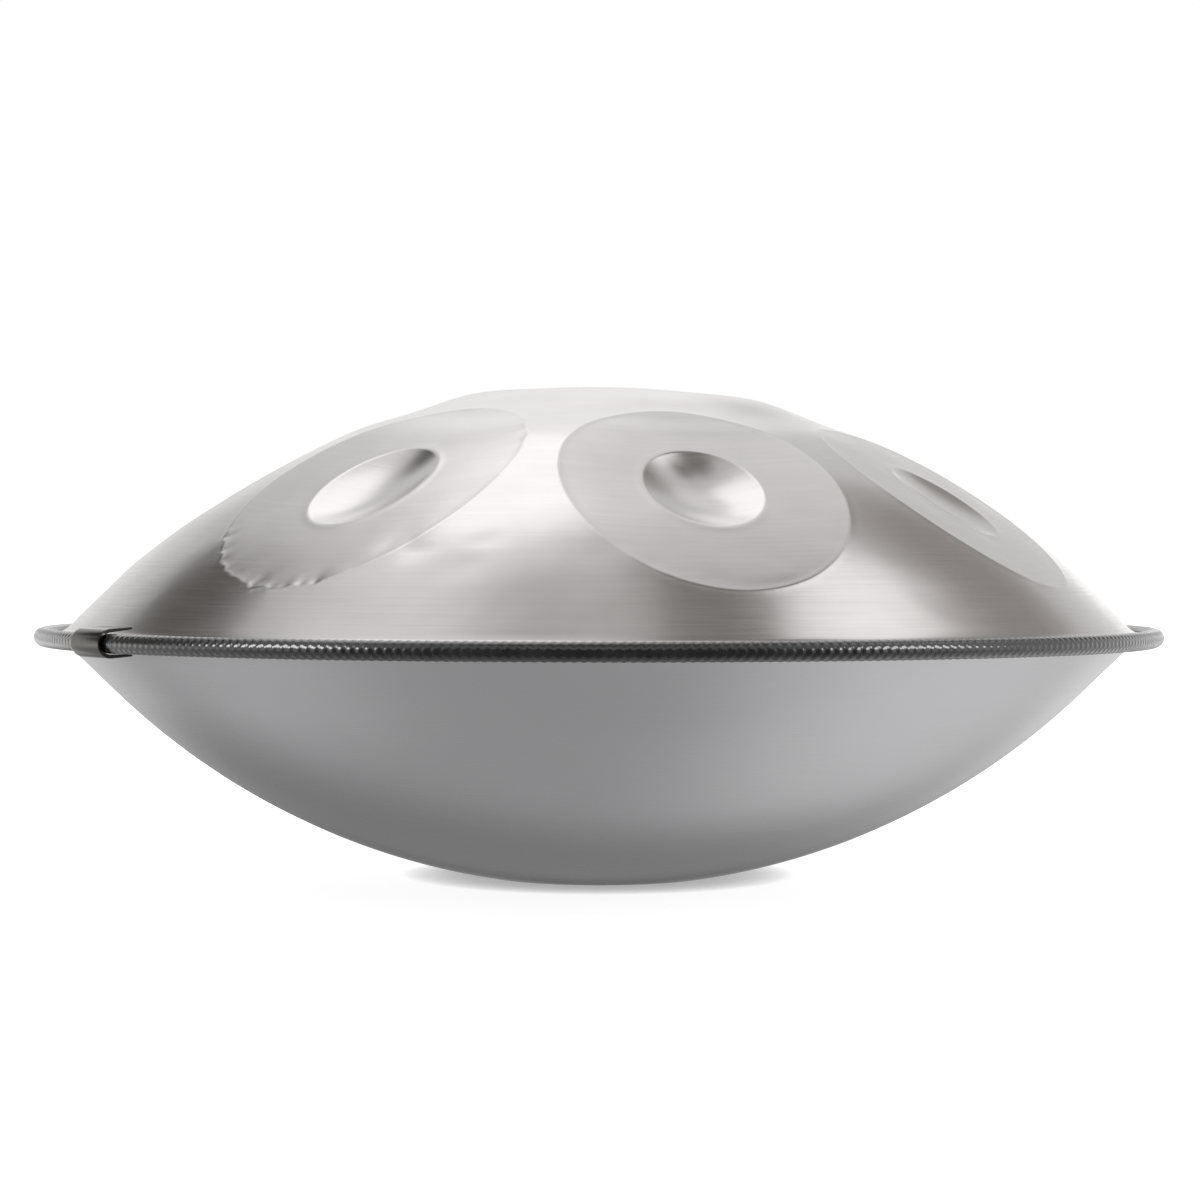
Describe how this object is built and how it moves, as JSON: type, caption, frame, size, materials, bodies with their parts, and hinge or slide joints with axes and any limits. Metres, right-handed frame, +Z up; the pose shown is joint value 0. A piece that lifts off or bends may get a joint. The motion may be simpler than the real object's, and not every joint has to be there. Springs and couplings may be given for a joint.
{
  "type": "handpan",
  "caption": "Lens-shaped handpan of two bonded steel shells, with hammered tone fields round a centre ding, a sound port below and a braided cord round the rim.",
  "frame": {"origin": "on the shells' axis, in the plane of the flat ring round the sound port that the instrument rests on", "axes": "+Z up along the axis through the ding, -Y towards the player and the front view, +X to the right from the front"},
  "size_m": [0.55, 0.55, 0.2387],
  "materials": {
    "top_steel": "stainless steel, brushed round the rim, satin, with faint hammer marks",
    "bottom_steel": "stainless steel, brushed round the rim, satin",
    "adhesive": "cured structural adhesive, matt",
    "core_rubber": "matt black rubber",
    "braid": "tight braid of glossy black synthetic strands",
    "gunmetal": "polished black-nickelled sheet metal"
  },
  "bodies": {
    "root": {"top_shell": "top_steel", "bottom_shell": "bottom_steel", "rim_adhesive": "adhesive", "cord_core": "core_rubber", "cord_braid": "braid", "cord_clip": "gunmetal"}
  },
  "joints": []
}
